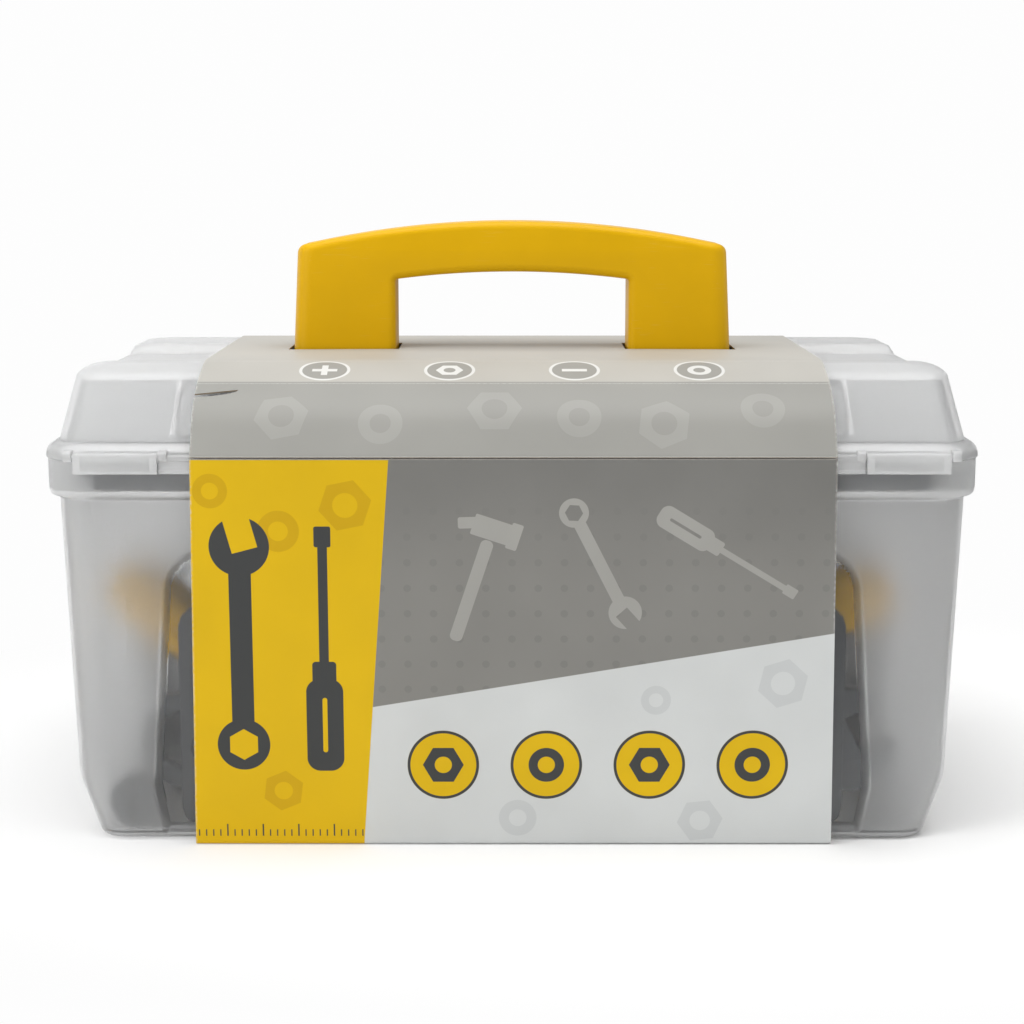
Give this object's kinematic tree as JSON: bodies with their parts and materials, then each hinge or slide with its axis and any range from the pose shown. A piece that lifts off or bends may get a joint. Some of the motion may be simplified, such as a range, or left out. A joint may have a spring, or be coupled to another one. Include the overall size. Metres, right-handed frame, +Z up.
{
  "type": "toy tool box",
  "caption": "Frosted plastic tool box with hinged lid, two latches, carry handle and card sleeve, filled with a pegboard and toy tools.",
  "frame": {"origin": "middle of the underside, on the sleeve's base", "axes": "+X along the box's length, +Z up, -Y out of the side with the latches"},
  "size_m": [0.3242, 0.2021, 0.2157],
  "materials": {
    "frosted": "frosted translucent polypropylene, fine satin",
    "yellow": "moulded, satin",
    "graphite": "moulded, satin",
    "card": "printed card, semi-matt varnish",
    "steel": "zinc plated"
  },
  "bodies": {
    "case": {"case_body": "frosted", "sleeve_lower": "card", "perforated_board": "graphite", "hammer_handle": "yellow", "hammer_head": "graphite", "screwdriver_flat_handle": "yellow", "screwdriver_flat_shaft": "graphite", "screwdriver_cross_handle": "yellow", "screwdriver_cross_shaft": "graphite", "ring_spanner": "graphite", "open_spanner": "graphite", "pliers_fixed_half": "graphite", "pliers_rivet": "steel", "saw_handle": "yellow", "saw_blade": "graphite", "bolt_1": "graphite", "bolt_2": "graphite", "bolt_3": "graphite", "bolt_4": "graphite", "bolt_5": "graphite", "bolt_6": "graphite", "nut_1": "graphite", "nut_2": "graphite", "nut_3": "graphite", "nut_4": "graphite", "peg_1": "graphite", "peg_2": "graphite", "strip_1": "yellow", "strip_2": "yellow", "bracket_1": "yellow", "bracket_2": "yellow", "plank_1": "graphite", "plank_2": "graphite", "stand_left": "graphite", "stand_right": "graphite"},
    "lid": {"lid_shell": "frosted", "carry_handle": "yellow", "handle_screw_left": "steel", "handle_screw_right": "steel", "sleeve_upper": "card"},
    "latch_left": {"latch_left": "frosted"},
    "latch_right": {"latch_right": "frosted"},
    "pliers_arm": {"pliers_moving_half": "graphite"}
  },
  "joints": [
    {"name": "lid_hinge", "type": "hinge", "parent": "case", "child": "lid", "pos_m": [0, 0.0995, 0.1365], "axis": [-1, 0, 0], "range_deg": [0, 105]},
    {"name": "latch_left_pivot", "type": "hinge", "parent": "lid", "child": "latch_left", "pos_m": [-0.1352, -0.0962, 0.1384], "axis": [-1, 0, 0], "range_deg": [0, 95]},
    {"name": "latch_right_pivot", "type": "hinge", "parent": "lid", "child": "latch_right", "pos_m": [0.1352, -0.0962, 0.1384], "axis": [-1, 0, 0], "range_deg": [0, 95]},
    {"name": "pliers_pivot", "type": "hinge", "parent": "case", "child": "pliers_arm", "pos_m": [-0.01019, -0.01469, 0.0097], "axis": [0, 0, 1], "range_deg": [0, 25]}
  ]
}
